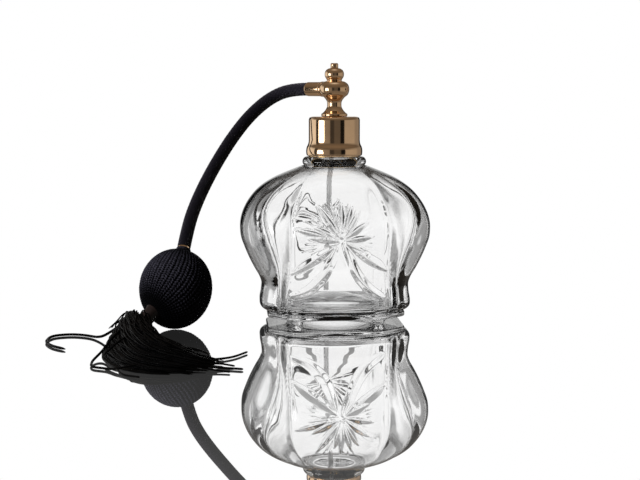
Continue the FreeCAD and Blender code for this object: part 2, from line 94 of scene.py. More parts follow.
# ---- Head, in millimetres: radius and height ----
SPRAY_HEIGHT, HOSE_AZIMUTH = 112.2, math.radians(138)
SHARP_FROM = math.radians(32)
CAP_OUTLINE = [
    (13.2, 80.0), (13.6, 80.25), (13.75, 81.2), (13.8, 82.2), (13.7, 83.3), (13.45, 84.3), (13.1, 84.95),
    (12.8, 85.6), (12.58, 86.5), (12.5, 87.6), (12.5, 97.5), (12.1, 98.55), (11.0, 99.0), (6.6, 99.08),
    (3.6, 99.0), (3.6, 97.4), (11.3, 97.4), (11.3, 82.6), (12.8, 82.2), (12.8, 80.0),
]
HEAD_FOOT = [(3.5, 91.0), (3.5, 99.1), (6.2, 99.1), (6.4, 99.4), (6.4, 100.2), (6.1, 100.5)]
HEAD_CURVE = [(5.7, 100.7), (4.4, 102.1), (3.5, 104.2), (3.65, 106.3), (4.8, 108.0), (6.6, 109.6),
              (7.3, 112.2), (6.7, 114.5), (5.2, 115.8), (3.65, 116.3)]
FINIAL_CURVE = [(3.6, 116.35), (3.8, 117.0), (4.5, 118.2), (4.7, 119.5), (4.2, 121.2), (2.9, 122.2),
                (2.0, 122.4)]
FINIAL_PIN = [(1.9, 122.7), (1.9, 124.3), (1.5, 124.8)]
FERRULE_OUTLINE = [(1.7, 8.1), (3.45, 8.1), (3.5, 8.4), (3.5, 15.9), (3.3, 16.4), (3.1, 16.3), (3.05, 12.0),
                   (1.7, 11.6)]
RING_OUTLINE = [(1.7, 6.2), (3.45, 6.2), (3.75, 6.5), (3.75, 7.5), (3.5, 8.05), (1.7, 8.05)]

# ---- Hose, in metres: the route of the CAD tube ----
HOSE_DIAMETER = 0.0064
BRAID_STRANDS, BRAID_TURN = 9, 0.020
HOSE_ROUTE = [
    (-0.0111, 0.0100, 0.1122), (-0.0199, 0.0179, 0.1122), (-0.0300, 0.0246, 0.1080),
    (-0.0400, 0.0261, 0.0996), (-0.0487, 0.0223, 0.0891), (-0.0560, 0.0152, 0.0783),
    (-0.0622, 0.0064, 0.0679), (-0.0674, -0.0028, 0.0576), (-0.0712, -0.0109, 0.0476),
    (-0.0733, -0.0164, 0.0376),
]

# ---- Bulb, in millimetres ----
BULB_CENTRE = Vector((-77.155, -26.495, 19.245))
BULB_AXIS = Vector((0.18097, 0.47396, 0.86175)).normalized()
TAIL = Vector((-0.5855, -0.611, -0.53)).normalized()
BULB_LONG, BULB_WIDE = 19.6, 17.1
COVER_INSET, COVER_SPAN = 0.35, (0.07, 0.93)
SKIN_INSET, SKIN_SPAN = 1.6, (0.12, 0.93)
WALES, COURSES = 28, 35
COLLAR_OUTLINE = [(2.4, 13.6), (3.2, 14.4), (4.1, 15.6), (4.2, 16.6), (3.75, 17.9), (3.5, 19.5), (3.45, 22.0),
                  (3.6, 24.6), (3.9, 26.0), (3.6, 27.0), (2.4, 27.1)]

# ---- Tassel, in millimetres: the skirt's middle on the table, its half width and its height ----
SKIRT = [
    ((-94.0, -44.0), 4.4, 9.5), ((-96.3, -52.0), 7.0, 13.5), ((-96.3, -62.0), 8.8, 15.0),
    ((-94.5, -76.0), 11.0, 13.5), ((-90.5, -91.0), 13.5, 11.0), ((-80.0, -106.5), 15.5, 7.8),
    ((-58.5, -116.5), 11.5, 2.8),
]
# The knot's radius and distance from the bulb's centre.
KNOT_OUTLINE = [(0.9, 26.1), (2.1, 26.7), (2.8, 27.7), (2.7, 28.2), (3.0, 28.7), (2.8, 29.2), (2.95, 29.7),
                (2.5, 30.5), (1.6, 31.3), (0.9, 31.7)]
THREADS, FOLDED_THREADS = 420, 46
THREAD_RADIUS = 0.34

# ---- Table, in metres, and the bearing of the camera, in degrees, from which the cards are placed ----
TABLE_RADIUS = 0.46
CAMERA_BEARING = -5


# ---------------------------------------------------------------- numbers

def smooth_step(value):
    value = np.clip(value, 0, 1)
    return value * value * (3 - 2 * value)


def smooth_line(rows, places):
    """The value at each place, on a smooth curve through (place, value) rows that never overshoots."""
    rows = np.array(rows, float)
    at, value = rows[:, 0], rows[:, 1]
    step = np.diff(value) / np.diff(at)
    slope = np.concatenate([step[:1], (step[:-1] + step[1:]) / 2, step[-1:]])
    slope[1:-1][step[:-1] * step[1:] <= 0] = 0
    places = np.clip(np.asarray(places, float), at[0], at[-1])
    span = np.clip(np.searchsorted(at, places) - 1, 0, len(at) - 2)
    width = at[span + 1] - at[span]
    t = (places - at[span]) / width
    return ((2 * t ** 3 - 3 * t ** 2 + 1) * value[span] + (t ** 3 - 2 * t ** 2 + t) * width * slope[span]
            + (-2 * t ** 3 + 3 * t ** 2) * value[span + 1] + (t ** 3 - t ** 2) * width * slope[span + 1])


def smooth_path(points, count):
    """A smooth line of evenly spaced points through the given ones."""
    points = np.array(points, float)
    along = np.concatenate([[0], np.cumsum(np.linalg.norm(np.diff(points, axis=0), axis=1))])
    places = np.linspace(0, along[-1], count)
    return np.stack([smooth_line(np.stack([along, column], axis=1), places) for column in points.T], 1)


def rounded(outline, radius=0.35, steps=3):
    """The outline with each corner turned into a small arc."""
    outline = np.array(outline, float)
    result = [outline[0]]
    for before, corner, after in zip(outline, outline[1:], outline[2:]):
        enter, leave = (corner + side * min(radius / np.linalg.norm(side), 0.45)
                        for side in (before - corner, after - corner))
        for t in np.linspace(0, 1, steps + 1):
            result.append((1 - t) ** 2 * enter + 2 * t * (1 - t) * corner + t ** 2 * leave)
    result.append(outline[-1])
    return np.array(result)


def rounded_loop(outline, radius):
    """A closed outline with its corners rounded, all but the first. It lists its first point once."""
    return rounded(outline + outline[:1], radius)[:-1]


# ---------------------------------------------------------------- meshes

def mesh_object(name, points, faces, smooth=True, uv=None):
    mesh = bpy.data.meshes.new(name)
    mesh.from_pydata(np.asarray(points).tolist(), [], faces)
    made = bmesh.new()
    made.from_mesh(mesh)
    bmesh.ops.recalc_face_normals(made, faces=made.faces)
    made.to_mesh(mesh)
    made.free()
    if uv is not None:
        layer = mesh.uv_layers.new(name="along")
        corner = np.empty(len(mesh.loops), int)
        mesh.loops.foreach_get("vertex_index", corner)
        layer.data.foreach_set("uv", uv[corner].astype(np.float32).ravel())
    mesh.polygons.foreach_set("use_smooth", [smooth] * len(mesh.polygons))
    thing = bpy.data.objects.new(name, mesh)
    bpy.context.scene.collection.objects.link(thing)
    return thing


def grid_faces(rings, around, offset=0, wrap_rings=False):
    """Faces between rings of points, each ring closed on itself."""
    here = np.arange(rings * around).reshape(rings, around) + offset
    after = np.roll(here, -1, axis=0) if wrap_rings else here[1:]
    here = here if wrap_rings else here[:-1]
    faces = np.stack([here, np.roll(here, -1, axis=1), np.roll(after, -1, axis=1), after], axis=-1)
    return faces.reshape(-1, 4).tolist()


def closed_skin(rows, start, end):
    """Points and faces of a closed skin over rings of points, from a start point to an end point."""
    rings, around = rows.shape[:2]
    points = np.vstack([rows.reshape(-1, 3), [start], [end]])
    faces = grid_faces(rings, around)
    tail = (rings - 1) * around
    for k in range(around):
        after = (k + 1) % around
        faces.append((rings * around, after, k))
        faces.append((rings * around + 1, tail + k, tail + after))
    return points, faces


def along_axis(points, axis, origin):
    """Points made about +Z, turned so that +Z becomes the axis, and moved to the origin."""
    turn = np.array(UP.rotation_difference(Vector(axis)).to_matrix())
    return points @ turn.T + np.array(origin)


def lathe(name, outline, axis=UP, origin=(0, 0, 0), sides=128, hollow=False):
    """A turned piece from (radius, height) points in millimetres. A hollow one's outline is a closed loop."""
    outline = np.array(outline, float)
    turn = np.arange(sides) * 2 * math.pi / sides
    rows = np.stack([outline[:, :1] * np.cos(turn), outline[:, :1] * np.sin(turn),
                     np.repeat(outline[:, 1:], sides, axis=1)], axis=-1)
    if hollow:
        points, faces = rows.reshape(-1, 3), grid_faces(len(outline), sides, wrap_rings=True)
    else:
        points, faces = closed_skin(rows, (0, 0, outline[0, 1]), (0, 0, outline[-1, 1]))
    return mesh_object(name, along_axis(points, axis, origin) * MM, faces)


def frames_along(points):
    """Unit vectors along and across a line of points, turning as little as they can."""
    along = np.gradient(points, axis=0)
    along /= np.linalg.norm(along, axis=1, keepdims=True)
    first = np.cross(along[0], (0, 0, 1) if abs(along[0][2]) < 0.9 else (1, 0, 0))
    across = [first / np.linalg.norm(first)]
    for direction in along[1:]:
        side = across[-1] - direction * np.dot(across[-1], direction)
        across.append(side / np.linalg.norm(side))
    across = np.array(across)
    return along, across, np.cross(along, across)


def tube_rows(points, radii, sides):
    """Rings of points around a line. The radii are one number, one per point, or one per point and side."""
    _, across, beside = frames_along(points)
    turn = np.arange(sides) * 2 * math.pi / sides
    radii = np.broadcast_to(np.asarray(radii, float).reshape(-1, 1) if np.ndim(radii) < 2 else radii,
                            (len(points), sides))
    outward = np.cos(turn)[None, :, None] * across[:, None] + np.sin(turn)[None, :, None] * beside[:, None]
    return points[:, None] + radii[..., None] * outward


def bundle(name, lines, sides=5):
    """One mesh of round threads, each a closed tube that thins at its ends. Lines hold (points, radius)."""
    points, faces, count = [], [], 0
    for line, radius in lines:
        taper = np.minimum(1, 0.45 + np.minimum(np.arange(len(line)), np.arange(len(line))[::-1]) * 0.4)
        rows = tube_rows(line, radius * taper, sides)
        skin, thread_faces = closed_skin(rows, line[0], line[-1])
        points.append(skin)
        faces.extend([tuple(corner + count for corner in face) for face in thread_faces])
        count += len(skin)
    return mesh_object(name, np.vstack(points) * MM, faces)


# ---------------------------------------------------------------- materials

def material(name, colour, roughness=0.4, **sockets):
    """A material with its principled shader's own numbers set, and its node tree."""
    made = bpy.data.materials.new(name)
    made.use_nodes = True
    shader = made.node_tree.nodes["Principled BSDF"]
    shader.inputs["Base Color"].default_value = (*colour, 1)
    shader.inputs["Roughness"].default_value = roughness
    for socket, value in sockets.items():
        shader.inputs[socket.replace("_", " ")].default_value = value
    return made, made.node_tree, shader


def add(tree, kind, **values):
    """A node, with its properties and its inputs set by name or number."""
    node = tree.nodes.new("ShaderNode" + kind)
    for name, value in values.items():
        if hasattr(node, name):
            setattr(node, name, value)
        else:
            node.inputs[name.replace("_", " ")].default_value = value
    return node


def ramp(tree, source, stops, interpolation="EASE"):
    """A colour ramp over a value. Stops hold (place, colour)."""
    node = tree.nodes.new("ShaderNodeValToRGB")
    node.color_ramp.interpolation = interpolation
    elements = node.color_ramp.elements
    while len(elements) > 1:
        elements.remove(elements[-1])
    elements[0].position, elements[0].color = stops[0][0], (*stops[0][1], 1)
    for place, colour in stops[1:]:
        elements.new(place).color = (*colour, 1)
    tree.links.new(source, node.inputs["Fac"])
    return node.outputs["Color"]


def noise(tree, scale, detail=4.0, roughness=0.5):
    place = add(tree, "TexCoord")
    node = add(tree, "TexNoise", Scale=scale, Detail=detail, Roughness=roughness)
    tree.links.new(place.outputs["Object"], node.inputs["Vector"])
    return node.outputs["Fac"]


def vary(tree, shader, socket, source, low, high):
    """Lets a value move a number socket between low and high."""
    node = add(tree, "MapRange", To_Min=low, To_Max=high)
    tree.links.new(source, node.inputs["Value"])
    tree.links.new(node.outputs["Result"], shader.inputs[socket])


def bump(tree, shader, source, distance, strength=0.5):
    node = add(tree, "Bump", Strength=strength, Distance=distance)
    tree.links.new(source, node.inputs["Height"])
    tree.links.new(node.outputs["Normal"], shader.inputs["Normal"])


def crystal():
    """Clear lead crystal with a faint ripple. Its colour is painted darker where it is seen edge on: painted
    shade for the dark outlines that dark surroundings give cut glass.
    """
    made, tree, shader = material("crystal", (1, 1, 1), 0.012, IOR=1.54)
    shader.inputs["Transmission Weight"].default_value = 1.0
    # Painted shade: the colour goes from white to near black as the surface turns edge on.
    edge = add(tree, "LayerWeight", Blend=0.5)
    painted_edge_shade = ramp(tree, edge.outputs["Facing"], [(0.53, (1, 1, 1)), (0.66, (0.40, 0.40, 0.40)),
                                               (0.77, (0.02, 0.02, 0.02))])
    tree.links.new(painted_edge_shade, shader.inputs["Base Color"])
    bump(tree, shader, noise(tree, 60, 2), 0.0003, 0.08)
    return made


def gilt(name="gilt", colour=(0.88, 0.61, 0.38), roughness=0.07):
    """Polished rose-gold plate with faint polishing haze and colour drift."""
    made, tree, shader = material(name, colour, roughness, Metallic=1.0)
    grain = noise(tree, 900, 5, 0.6)
    vary(tree, shader, "Roughness", grain, roughness * 0.7, roughness * 1.5)
    cloud = noise(tree, 90, 3)
    dark = tuple(part * 0.88 for part in colour)
    tree.links.new(ramp(tree, cloud, [(0.35, dark), (0.65, colour)]), shader.inputs["Base Color"])
    bump(tree, shader, grain, 0.00002, 0.12)
    return made


def brushed(name, colour, roughness):
    made, tree, shader = material(name, colour, roughness, Metallic=1.0)
    grain = noise(tree, 1500, 3)
    vary(tree, shader, "Roughness", grain, roughness * 0.8, roughness * 1.4)
    bump(tree, shader, grain, 0.00003, 0.2)
    return made


def plastic(name, colour, roughness, clear=0.0, specular=0.5):
    """Moulded plastic or rubber with the fine texture of its mould."""
    made, tree, shader = material(name, colour, roughness, IOR=1.45)
    shader.inputs["Transmission Weight"].default_value = clear
    shader.inputs["Specular IOR Level"].default_value = specular
    grain = noise(tree, 1200, 4)
    vary(tree, shader, "Roughness", grain, roughness * 0.85, roughness * 1.25)
    bump(tree, shader, grain, 0.00004, 0.2)
    return made


def yarn(name, colour, bright, roughness, scale, sheen, specular, ridge=None):
    """Dyed thread: darker and lighter fibres, a soft sheen and fibre-fine bump; with a ridge attribute, painted
    shade darkens the colour between the stitches.
    """
    made, tree, shader = material(name, colour, roughness)
    shader.inputs["Sheen Weight"].default_value = sheen
    shader.inputs["Sheen Roughness"].default_value = 0.35
    shader.inputs["Sheen Tint"].default_value = (0.62, 0.64, 0.8, 1)
    shader.inputs["Specular IOR Level"].default_value = specular
    shader.inputs["IOR"].default_value = 1.2
    fibres = noise(tree, scale, 6, 0.65)
    shade = ramp(tree, fibres, [(0.38, colour), (0.66, bright)])
    if ridge:
        # Painted shade: the colour darkens to near black where the stored stitch height is low, between the
        # stitches.
        painted_stitch_shade = add(tree, "Attribute", attribute_name=ridge)
        painted_stitch_shade = ramp(tree, painted_stitch_shade.outputs["Fac"], [(0.35, (0.02, 0.02, 0.02)), (1.0, (1, 1, 1))])
        both = add(tree, "Mix", data_type="RGBA", blend_type="MULTIPLY")
        both.inputs[0].default_value = 1.0
        tree.links.new(shade, both.inputs[6])
        tree.links.new(painted_stitch_shade, both.inputs[7])
        shade = both.outputs[2]
    tree.links.new(shade, shader.inputs["Base Color"])
    vary(tree, shader, "Roughness", noise(tree, scale * 0.4, 3), roughness * 0.8, roughness * 1.3)
    bump(tree, shader, fibres, 0.00012, 0.6)
    return made


def braided():
    """Black rayon braid: fine yarns lie side by side along the hose in each strand."""
    made, tree, shader = material("black_braid", (0.005, 0.004, 0.007), 0.36)
    shader.inputs["Specular IOR Level"].default_value = 0.10
    shader.inputs["Sheen Weight"].default_value = 0.04
    shader.inputs["Sheen Roughness"].default_value = 0.3
    shader.inputs["Sheen Tint"].default_value = (0.75, 0.66, 0.85, 1)
    place = add(tree, "UVMap", uv_map="along")
    lines = add(tree, "TexWave", wave_type="BANDS", bands_direction="X", Scale=9.0, Distortion=1.5,
                Detail=3.0)
    lines.inputs["Detail Scale"].default_value = 6.0
    tree.links.new(place.outputs["UV"], lines.inputs["Vector"])
    colour = ramp(tree, lines.outputs["Fac"], [(0.2, (0.0012, 0.0011, 0.0018)),
                                               (0.95, (0.010, 0.009, 0.013))])
    tree.links.new(colour, shader.inputs["Base Color"])
    bump(tree, shader, lines.outputs["Fac"], 0.00015, 0.7)
    return made


MATERIALS = {
    "crystal": crystal(),
    "gilt": gilt(),
    "brass": gilt("brass", (0.70, 0.47, 0.20), 0.18),
    "steel": brushed("steel", (0.55, 0.56, 0.58), 0.22),
    "clear_plastic": plastic("clear_plastic", (0.86, 0.86, 0.86), 0.1, clear=0.85),
    "black_rubber": plastic("black_rubber", (0.012, 0.011, 0.011), 0.5),
    "collar_rubber": plastic("collar_rubber", (0.0045, 0.003, 0.0028), 0.32, specular=0.15),
    "black_braid": braided(),
    # The knit's ridge attribute drives painted shade between its stitches.
    "black_knit": yarn("black_knit", (0.0014, 0.0013, 0.002), (0.024, 0.023, 0.031), roughness=0.5,
                       scale=2600, sheen=0.02, specular=0.06, ridge="ridge"),
    "black_silk": yarn("black_silk", (0.0001, 0.0001, 0.00015), (0.0006, 0.0006, 0.0007), roughness=0.3,
                       scale=1500, sheen=0.0, specular=0.3),
}


def finish_piece(piece, slot, body, *nodes):
    """Gives a piece its material and its body, and hides the CAD nodes that it stands for."""
    piece.data.materials.clear()
    piece.data.materials.append(MATERIALS[slot])
    if nodes:
        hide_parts(*nodes)
    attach(piece, body)


def finish_nodes():
    """Gives every CAD node that is still shown the material of its slot in the record."""
    slots = {entry["node"]: entry["material_slot"] for entry in frame["record"]["subparts"]}
    for name, node in frame["nodes"].items():
        slot = slots[name]
        for index in range(max(1, len(node.material_slots))):
            if index < len(node.material_slots):
                node.material_slots[index].material = MATERIALS[slot]
            else:
                node.data.materials.append(MATERIALS[slot])


# ---------------------------------------------------------------- camera and hose

def make_camera():
    camera = bpy.data.objects.new("camera", bpy.data.cameras.new("camera"))
    bpy.context.scene.collection.objects.link(camera)
    camera.location = CAMERA_PLACE
    camera.rotation_euler = CAMERA_TURN
    camera.data.lens = CAMERA_LENS
    camera.data.clip_start = 0.01
    bpy.context.scene.camera = camera


def line_points(route):
    """Points of the smooth line whose control points are the route's, in metres."""
    curve = bpy.data.curves.new("line", "CURVE")
    curve.dimensions = "3D"
    curve.resolution_u = 40
    spline = curve.splines.new("NURBS")
    spline.points.add(len(route) - 1)
    for point, place in zip(spline.points, route):
        point.co = (*place, 1)
    spline.order_u = 3
    spline.use_endpoint_u = True
    line = bpy.data.objects.new("line", curve)
    bpy.context.scene.collection.objects.link(line)
    mesh = bpy.data.meshes.new_from_object(line)
    points = np.array([vertex.co for vertex in mesh.vertices])
    bpy.data.objects.remove(line)
    bpy.data.curves.remove(curve)
    bpy.data.meshes.remove(mesh)
    return points


def make_hose():
    """The hose's black braid: two sets of strands that wind opposite ways, over and under each other."""
    path = line_points(HOSE_ROUTE)
    steps, sides = 620, 72
    fine = smooth_path(path, steps)
    length = np.linalg.norm(np.diff(fine, axis=0), axis=1).sum()
    wound = BRAID_STRANDS * length / BRAID_TURN
    around, along = np.meshgrid(np.arange(sides) / sides, np.linspace(0, 1, steps))
    right = (BRAID_STRANDS * around + wound * along) % 2
    left = (BRAID_STRANDS * around - wound * along) % 2
    over = (np.floor(right) + np.floor(left)) % 2 == 0
    ridge = np.where(over, np.abs(np.sin(math.pi * right)), np.abs(np.sin(math.pi * left)))
    radii = HOSE_DIAMETER / 2 * (0.945 + 0.055 * np.sqrt(ridge))
    points, faces = closed_skin(tube_rows(fine, radii, sides), fine[0], fine[-1])
    uv = np.vstack([np.stack([around * 8, along * 30], -1).reshape(-1, 2), [[0, 0], [0, 30]]])
    hose = mesh_object("hose_braid_cover", points, faces, uv=uv)
    finish_piece(hose, "black_braid", "atomizer", "hose_braid", "hose_lining")


# ---------------------------------------------------------------- bottle

def panel_cuts(x, z):
    """Depth of the star, its leaves and its sweeping cuts at places on a panel, in millimetres."""
    depth = np.zeros_like(x)
    centre = np.array([STAR_X, STAR_Z])

    def leaf(tip, start, width, deepest, fullest):
        nonlocal depth
        line = np.array(tip) - centre
        reach = np.linalg.norm(line)
        unit = line / reach
        along = ((x - centre[0]) * unit[0] + (z - centre[1]) * unit[1]) / reach
        aside = np.abs((x - centre[0]) * unit[1] - (z - centre[1]) * unit[0])
        share = np.clip((along - start) / (1 - start), 0, 1)
        half = width * np.clip(np.sin(math.pi * share ** fullest), 0, 1) ** 0.8 + 1e-6
        depth = np.maximum(depth, deepest * half / width * np.clip(1 - aside / half, 0, 1))

    for tip in STAR_TIPS:
        leaf(tip, 0.04, 1.7, 2.0, 0.9)
    for tip in LEAF_TIPS:
        leaf(tip, 0.03, 2.5, 2.0, 1.1)
    for sweep in SWEEPS:
        line = smooth_path(sweep, 48)
        gap = np.hypot(x[..., None] - line[:, 0], z[..., None] - line[:, 1])
        nearest = gap.argmin(axis=-1) / (len(line) - 1)
        half = 1.2 + 1.5 * np.clip(np.sin(math.pi * nearest), 0, 1) ** 0.7
        depth = np.maximum(depth, 1.5 * (half / 2.7) * np.clip(1 - gap.min(axis=-1) / half, 0, 1))
    for number in range(FAN_STROKES):
        angle = math.radians(-32 + 244 * number / (FAN_STROKES - 1))
        outer = 18.5 + 2.6 * math.sin(5.1 * number)
        tip = centre + outer * np.array([math.cos(angle), math.sin(angle)])
        leaf(tip, 0.52, 0.5, 0.22, 0.8)
    return depth


def plan_radius(turn, height, half_width, grooved):
    """Radius of the body at each turn and height, all in millimetres."""
    narrow = smooth_step((height - SHOULDER_FROM) / (BODY_OUTLINE[-1][0] - SHOULDER_FROM))
    power = SQUARENESS + (2 - SQUARENESS) * narrow
    half_depth = half_width * (DEPTH_RATIO + (1 - DEPTH_RATIO) * narrow)
    c, s = np.abs(np.cos(turn)), np.abs(np.sin(turn))
    radius = ((c / half_width) ** power + (s / half_depth) ** power) ** (-1 / power)
    if not grooved:
        return radius
    edges = []
    for rows in (SIDE_EDGE, PANEL_EDGE):
        x = np.minimum(smooth_line(rows, height), 0.97 * half_width)
        edges.append(np.arctan2(half_depth * (1 - (x / half_width) ** power) ** (1 / power), x))
    angle = np.arctan2(s, c)
    strength = 1 - narrow
    low, high = edges
    plain = radius.copy()
    for edge in edges:
        groove = np.abs(angle - edge) * plain / GROOVE_WIDTH
        radius = radius - strength * GROOVE_DEPTH * np.exp(-groove ** 1.5)
    middle, half = (low + high) / 2, np.maximum(np.abs(high - low) / 2, 0.02)
    return radius + strength * LOBE_RISE * np.clip(1 - ((angle - middle) / half) ** 2, 0, 1)


def column_turns():
    """Angles of the bottle's columns, closer together on the front and back panels."""
    panel = math.radians(37)
    quarter = math.pi / 2
    wide = np.linspace(-quarter - panel, -quarter + panel, 124)[:-1]
    side = np.linspace(-quarter + panel, quarter - panel, 74)[:-1]
    return np.concatenate([wide, side, wide + math.pi, side + math.pi])


def make_bottle():
    """One skin of glass: under the slab, up the cut body, over the neck's rim and down inside."""
    turn = column_turns()
    c, s = np.cos(turn), np.sin(turn)
    rings = []

    def ring(radius, height):
        radius = np.broadcast_to(radius, turn.shape)
        rings.append(np.stack([radius * c, radius * s, np.broadcast_to(height, turn.shape)], axis=-1))

    def octagon(inset):
        across = (SLAB_X - SLAB_CORNER_X, SLAB_Y - SLAB_CORNER_Y)
        reach = SLAB_X * across[1] + SLAB_CORNER_Y * across[0]
        flat = 30
        corner = (across[1] * np.abs(c) + across[0] * np.abs(s)) / (reach - inset * math.hypot(*across))
        sides = (np.abs(c) / (SLAB_X - inset)) ** flat + (np.abs(s) / (SLAB_Y - inset)) ** flat
        return (sides + corner ** flat) ** (-1 / flat)

    punt_ball = (PUNT_RADIUS ** 2 + PUNT_RISE ** 2) / (2 * PUNT_RISE)
    for radius in np.linspace(0, PUNT_RADIUS, 18)[1:]:
        ring(radius, SLAB_BOTTOM + PUNT_RISE - punt_ball + math.sqrt(punt_ball ** 2 - radius ** 2))
    edge = octagon(0.7)
    for share in np.linspace(0, 1, 22)[1:]:
        radius = PUNT_RADIUS + 0.2 + (edge - PUNT_RADIUS - 0.2) * share
        gap = np.hypot(np.abs(radius * c) - FOOT_X, np.abs(radius * s) - FOOT_Y)
        foot = smooth_step((FOOT_RADIUS - gap) / (FOOT_RADIUS - FOOT_FLAT))
        ring(radius, SLAB_BOTTOM * (1 - foot))
    for inset, height in ((0.3, 2.72), (0.08, 2.95), (0.0, 3.3), (0.0, 4.0), (0.05, 4.5), (0.4, 4.85)):
        ring(octagon(inset), height)

    heights = np.concatenate([np.linspace(SLAB_TOP, 12, 16)[:-1], np.linspace(12, 62, 126)[:-1],
                              np.linspace(62, 75.0, 34)])
    widths = smooth_line(BODY_OUTLINE, heights)
    for height, width in zip(heights, widths):
        radius = plan_radius(turn, height, width, True)
        x, z = radius * c, np.full_like(turn, height)
        inside = smooth_step((smooth_line(PANEL_EDGE, height) - 1.0 - np.abs(x)) / 1.6) * (np.abs(s) > 0.5)
        ring(radius - panel_cuts(x, z) * inside, height)

    ring(14.75, 75.35)
    for angle in np.radians(np.linspace(-38, 90, 13)):
        ring(RING_CORE + RING_BULGE * math.cos(angle), RING_MIDDLE + RING_BULGE * math.sin(angle))
    ring(10.2, 79.72)
    for radius, height in ((9.7, 79.8), (NECK_RADIUS, 80.2), (NECK_RADIUS, 86), (NECK_RADIUS, 91.9),
                           (9.3, 92.35), (8.8, NECK_TOP), (7.4, NECK_TOP), (6.8, 92.3), (NECK_BORE, 91.8),
                           (NECK_BORE, 86), (NECK_BORE, 79.5), (6.8, 78.4), (7.6, 77.2), (9.2, 76.0),
                           (11.6, 75.0)):
        ring(radius, height)
    for height in np.concatenate([np.linspace(74.0, 60, 16)[:-1], np.linspace(60, 12, 26)[:-1],
                                  np.linspace(12, 9.0, 4)]):
        width = float(smooth_line(BODY_OUTLINE, height)) - WALL
        ring(plan_radius(turn, height, width, False), height)
    floor_width = float(smooth_line(BODY_OUTLINE, CAVITY_FLOOR)) - WALL
    floor_edge = plan_radius(turn, CAVITY_FLOOR, floor_width, False)
    for inset, height in ((0.25, 8.4), (0.9, 7.9), (1.8, 7.65)):
        ring(floor_edge - inset, height)
    for share in np.linspace(0.94, 0, 22)[:-1]:
        radius = (floor_edge - 1.8) * share
        dome = DOME_TOP - DOME_RADIUS + np.sqrt(DOME_RADIUS ** 2 - radius ** 2)
        ring(radius, np.log(np.exp(2 * dome) + np.exp(2 * CAVITY_FLOOR)) / 2)

    rows = np.array(rings)
    points, faces = closed_skin(rows, (0, 0, SLAB_BOTTOM + PUNT_RISE), (0, 0, DOME_TOP))
    bottle = mesh_object("bottle_cut_glass", points * MM, faces)
    finish_piece(bottle, "crystal", "bottle", "bottle_glass")


# ---------------------------------------------------------------- gilt head

def bore(piece, radius, start, end, axis, origin):
    """Cuts a round hole into a piece."""
    tool = lathe("tool", [(radius, start), (radius, end)], axis, origin, 48)
    cut = piece.modifiers.new("bore", "BOOLEAN")
    cut.operation, cut.solver, cut.object = "DIFFERENCE", "EXACT", tool
    bpy.context.view_layer.update()
    mesh = bpy.data.meshes.new_from_object(piece.evaluated_get(bpy.context.evaluated_depsgraph_get()))
    piece.modifiers.clear()
    piece.data = mesh
    bpy.data.objects.remove(tool)


def make_head():
    """The cap, the turned head with its nozzle and ferrule holes, the finial, the ferrule and its ring."""
    out = Vector((math.cos(HOSE_AZIMUTH), math.sin(HOSE_AZIMUTH), 0))
    centre = (0, 0, SPRAY_HEIGHT)
    cap = lathe("cap_shell", rounded_loop(CAP_OUTLINE, 0.3), sides=160, hollow=True)
    finish_piece(cap, "gilt", "cap", "screw_cap")
    curve = smooth_path(HEAD_CURVE, 60)
    head = lathe("head_turned", np.vstack([rounded(HEAD_FOOT, 0.25), curve, [(1.7, 116.3)]]), sides=160)
    bore(head, 1.32, 6.2, 9.0, -out, centre)
    bore(head, 3.78, 6.25, 12.0, out, centre)
    finish_piece(head, "gilt", "atomizer", "head_body")
    nozzle_outline = [(1.28, 5.4), (1.28, 7.0), (0.95, 7.1), (0.42, 6.95), (0.4, 6.2)]
    nozzle = lathe("nozzle_face", rounded(nozzle_outline, 0.12), -out, centre, 48)
    finish_piece(nozzle, "gilt", "atomizer", "nozzle_insert")
    finial_outline = np.vstack([[(1.5, 116.3)], smooth_path(FINIAL_CURVE, 44), rounded(FINIAL_PIN, 0.3)])
    finial = lathe("finial", finial_outline)
    finish_piece(finial, "gilt", "atomizer", "finial_plug")
    ferrule = lathe("hose_ferrule_tube", rounded_loop(FERRULE_OUTLINE, 0.2), out, centre, hollow=True)
    finish_piece(ferrule, "gilt", "atomizer", "hose_ferrule")
    collar = lathe("ferrule_bead", rounded_loop(RING_OUTLINE, 0.25), out, centre, hollow=True)
    finish_piece(collar, "gilt", "atomizer", "ferrule_ring")
    for piece in (cap, head, nozzle, finial, ferrule, collar):
        piece.data.set_sharp_from_angle(angle=SHARP_FROM)
    orifice = lathe("orifice_shade", [(0.42, 6.3), (0.42, 6.97)], -out, centre, 24)
    finish_piece(orifice, "black_rubber", "atomizer")


# ---------------------------------------------------------------- bulb

def bulb_rows(steps, sides, long_radius, wide_radius, start, end):
    """Rings over the bulb from its hose end to its tail, and their outward units.

    The two poles aren't opposite each other, so the rings lean over towards the tail's pole.
    """
    axis, tail = np.array(BULB_AXIS), np.array(TAIL)
    ratio = wide_radius / long_radius
    flat_tail = tail - axis * np.dot(tail, axis) * (1 - ratio)
    flat_tail /= np.linalg.norm(flat_tail)
    bend_axis = np.cross(-axis, flat_tail)
    bend = math.asin(np.linalg.norm(bend_axis))
    bend_axis /= np.linalg.norm(bend_axis)
    across = np.cross(axis, bend_axis)
    turn = np.arange(sides) * 2 * math.pi / sides
    rows = []
    for share in np.linspace(start, end, steps):
        angle = math.pi * share
        outward = np.cos(turn)[:, None] * across[None] + np.sin(turn)[:, None] * bend_axis[None]
        place = math.cos(angle) * axis[None] + math.sin(angle) * outward
        lean = bend * float(smooth_step(share))
        place = (place * math.cos(lean) + np.cross(bend_axis, place) * math.sin(lean)
                 + bend_axis[None] * (place @ bend_axis)[:, None] * (1 - math.cos(lean)))
        rows.append(place)
    unit = np.array(rows)
    stretch = (unit @ axis)[..., None] * axis
    surface = unit * wide_radius + stretch * (long_radius - wide_radius)
    normal = unit / wide_radius + stretch * (1 / long_radius - 1 / wide_radius)
    normal /= np.linalg.norm(normal, axis=-1, keepdims=True)
    return surface + np.array(BULB_CENTRE), normal


